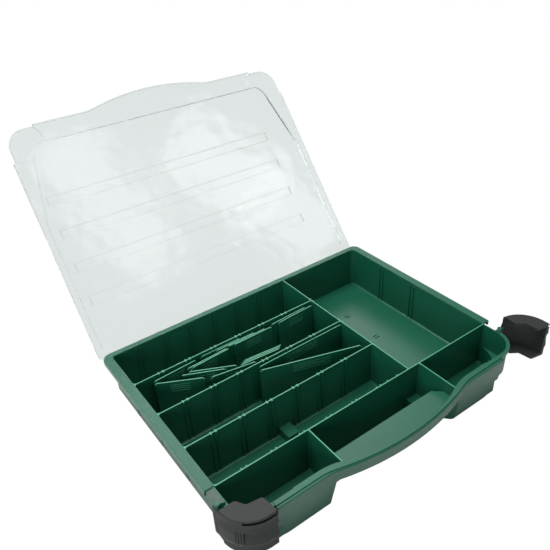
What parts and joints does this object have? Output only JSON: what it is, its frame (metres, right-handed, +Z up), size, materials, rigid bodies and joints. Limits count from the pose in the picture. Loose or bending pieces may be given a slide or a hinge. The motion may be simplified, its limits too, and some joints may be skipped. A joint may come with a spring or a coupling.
{
  "type": "tackle box",
  "caption": "Flat green compartment box for fishing tackle with a clear hinged lid, swinging corner latches, a moulded front handle and loose dividers stored in its channels.",
  "frame": {"origin": "centre of the tray's base, on the surface the box stands on", "axes": "+X to the right along the front, +Y from the handle towards the hinge, +Z up"},
  "size_m": [0.3885, 0.4496, 0.2561],
  "materials": {
    "green_plastic": "satin polypropylene",
    "clear_plastic": "clear polypropylene",
    "black_plastic": "satin polypropylene"
  },
  "bodies": {
    "tray": {"tray": "green_plastic"},
    "lid": {"lid": "clear_plastic"},
    "latch_left": {"latch_left": "black_plastic"},
    "latch_right": {"latch_right": "black_plastic"},
    "short_divider_01": {"short_divider_01": "green_plastic"},
    "short_divider_02": {"short_divider_02": "green_plastic"},
    "short_divider_03": {"short_divider_03": "green_plastic"},
    "short_divider_04": {"short_divider_04": "green_plastic"},
    "short_divider_05": {"short_divider_05": "green_plastic"},
    "short_divider_06": {"short_divider_06": "green_plastic"},
    "short_divider_07": {"short_divider_07": "green_plastic"},
    "short_divider_08": {"short_divider_08": "green_plastic"},
    "short_divider_09": {"short_divider_09": "green_plastic"},
    "short_divider_10": {"short_divider_10": "green_plastic"},
    "short_divider_11": {"short_divider_11": "green_plastic"},
    "short_divider_12": {"short_divider_12": "green_plastic"},
    "short_divider_13": {"short_divider_13": "green_plastic"},
    "short_divider_14": {"short_divider_14": "green_plastic"},
    "short_divider_15": {"short_divider_15": "green_plastic"},
    "short_divider_16": {"short_divider_16": "green_plastic"},
    "long_divider_1": {"long_divider_1": "green_plastic"},
    "long_divider_2": {"long_divider_2": "green_plastic"}
  },
  "joints": [
    {"name": "lid_hinge", "type": "hinge", "parent": "tray", "child": "lid", "pos_m": [0, 0.1316, 0.0469], "axis": [-1, 0, 0], "range_deg": [-128.5, 0]},
    {"name": "latch_left_swing", "type": "hinge", "parent": "tray", "child": "latch_left", "pos_m": [-0.1717, -0.09675, 0.035], "axis": [0, 0, -1], "range_deg": [0, 87]},
    {"name": "latch_right_swing", "type": "hinge", "parent": "tray", "child": "latch_right", "pos_m": [0.1717, -0.09675, 0.035], "axis": [0, 0, 1], "range_deg": [-87, 0]},
    {"name": "short_divider_01_lift", "type": "slide", "parent": "tray", "child": "short_divider_01", "axis": [0, 0, 1], "range_m": [0, 0.06]},
    {"name": "short_divider_02_lift", "type": "slide", "parent": "tray", "child": "short_divider_02", "axis": [0, 0, 1], "range_m": [0, 0.06]},
    {"name": "short_divider_03_lift", "type": "slide", "parent": "tray", "child": "short_divider_03", "axis": [0, 0, 1], "range_m": [0, 0.06]},
    {"name": "short_divider_04_lift", "type": "slide", "parent": "tray", "child": "short_divider_04", "axis": [0, 0, 1], "range_m": [0, 0.06]},
    {"name": "short_divider_05_lift", "type": "slide", "parent": "tray", "child": "short_divider_05", "axis": [0, 0, 1], "range_m": [0, 0.06]},
    {"name": "short_divider_06_lift", "type": "slide", "parent": "tray", "child": "short_divider_06", "axis": [0, 0, 1], "range_m": [0, 0.06]},
    {"name": "short_divider_07_lift", "type": "slide", "parent": "tray", "child": "short_divider_07", "axis": [0, 0, 1], "range_m": [0, 0.06]},
    {"name": "short_divider_08_lift", "type": "slide", "parent": "tray", "child": "short_divider_08", "axis": [0, 0, 1], "range_m": [0, 0.06]},
    {"name": "short_divider_09_lift", "type": "slide", "parent": "tray", "child": "short_divider_09", "axis": [0, 0, 1], "range_m": [0, 0.06]},
    {"name": "short_divider_10_lift", "type": "slide", "parent": "tray", "child": "short_divider_10", "axis": [0, 0, 1], "range_m": [0, 0.06]},
    {"name": "short_divider_11_lift", "type": "slide", "parent": "tray", "child": "short_divider_11", "axis": [0, 0, 1], "range_m": [0, 0.06]},
    {"name": "short_divider_12_lift", "type": "slide", "parent": "tray", "child": "short_divider_12", "axis": [0, 0, 1], "range_m": [0, 0.06]},
    {"name": "short_divider_13_lift", "type": "slide", "parent": "tray", "child": "short_divider_13", "axis": [0, 0, 1], "range_m": [0, 0.06]},
    {"name": "short_divider_14_lift", "type": "slide", "parent": "tray", "child": "short_divider_14", "axis": [0, 0, 1], "range_m": [0, 0.06]},
    {"name": "short_divider_15_lift", "type": "slide", "parent": "tray", "child": "short_divider_15", "axis": [0, 0, 1], "range_m": [0, 0.06]},
    {"name": "short_divider_16_lift", "type": "slide", "parent": "tray", "child": "short_divider_16", "axis": [0, 0, 1], "range_m": [0, 0.06]},
    {"name": "long_divider_1_lift", "type": "slide", "parent": "tray", "child": "long_divider_1", "axis": [0, 0, 1], "range_m": [0, 0.06]},
    {"name": "long_divider_2_lift", "type": "slide", "parent": "tray", "child": "long_divider_2", "axis": [0, 0, 1], "range_m": [0, 0.06]}
  ]
}
